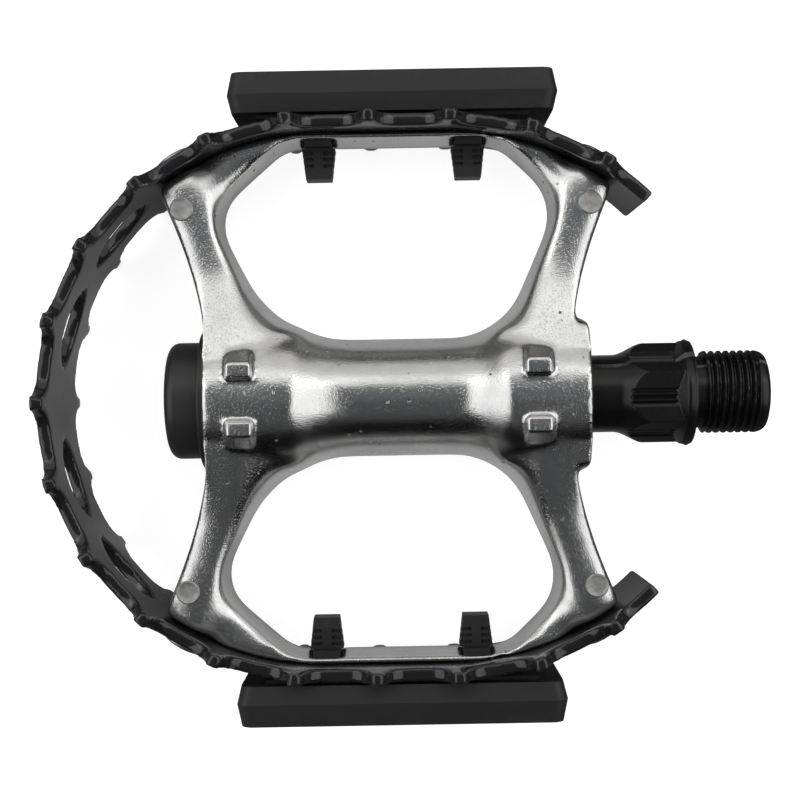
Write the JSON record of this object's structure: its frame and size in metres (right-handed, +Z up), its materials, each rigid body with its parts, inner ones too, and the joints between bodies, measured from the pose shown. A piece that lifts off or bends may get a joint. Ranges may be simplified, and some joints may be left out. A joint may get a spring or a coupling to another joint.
{
  "type": "bear trap pedal",
  "caption": "Bicycle pedal: a toothed steel cage bent round a cast alloy body that spins on ball bearings about a threaded spindle, with clip-in side reflectors.",
  "frame": {"origin": "on the spindle's axis, where the crank thread starts", "axes": "+X along the spindle towards the crank, +Y the riding direction, +Z up, with the pedal level"},
  "size_m": [0.1231, 0.1094, 0.028],
  "materials": {
    "cast_alloy": "die cast and tumble polished, with small pits",
    "black_paint": "gloss black paint on pressed steel",
    "black_steel": "black oxide, satin",
    "race_steel": "ground and hardened",
    "ball_steel": "polished",
    "plated_steel": "zinc plated",
    "seal_rubber": "matte black",
    "cap_plastic": "satin black",
    "housing_plastic": "moulded matte black",
    "amber_lens": "clear amber with a prism pattern behind it"
  },
  "bodies": {
    "axle": {"spindle": "black_steel", "adjusting_cone": "race_steel", "lock_washer": "plated_steel", "locknut": "plated_steel"},
    "pedal": {"pedal_body": "cast_alloy", "cage": "black_paint", "cage_screw_front_outboard": "plated_steel", "cage_screw_front_inboard": "plated_steel", "cage_screw_rear_outboard": "plated_steel", "cage_screw_rear_inboard": "plated_steel", "front_reflector_housing": "housing_plastic", "front_reflector_lens": "amber_lens", "rear_reflector_housing": "housing_plastic", "rear_reflector_lens": "amber_lens", "inboard_cup": "race_steel", "outboard_cup": "race_steel", "inboard_seal": "seal_rubber", "dust_cap": "cap_plastic"},
    "inboard_ball_ring": {"inboard_balls": "ball_steel"},
    "outboard_ball_ring": {"outboard_balls": "ball_steel"}
  },
  "joints": [
    {"name": "pedal_spin", "type": "hinge", "parent": "axle", "child": "pedal", "pos_m": [-0.052, 0, 0], "axis": [1, 0, 0], "continuous": true},
    {"name": "inboard_ball_orbit", "type": "hinge", "parent": "axle", "child": "inboard_ball_ring", "pos_m": [-0.0272, 0, 0], "axis": [1, 0, 0], "continuous": true},
    {"name": "outboard_ball_orbit", "type": "hinge", "parent": "axle", "child": "outboard_ball_ring", "pos_m": [-0.0748, 0, 0], "axis": [1, 0, 0], "continuous": true}
  ],
  "couplings": [
    {"joint": "inboard_ball_orbit", "follows": "pedal_spin", "ratio": 0.5923},
    {"joint": "outboard_ball_orbit", "follows": "pedal_spin", "ratio": 0.5877}
  ]
}
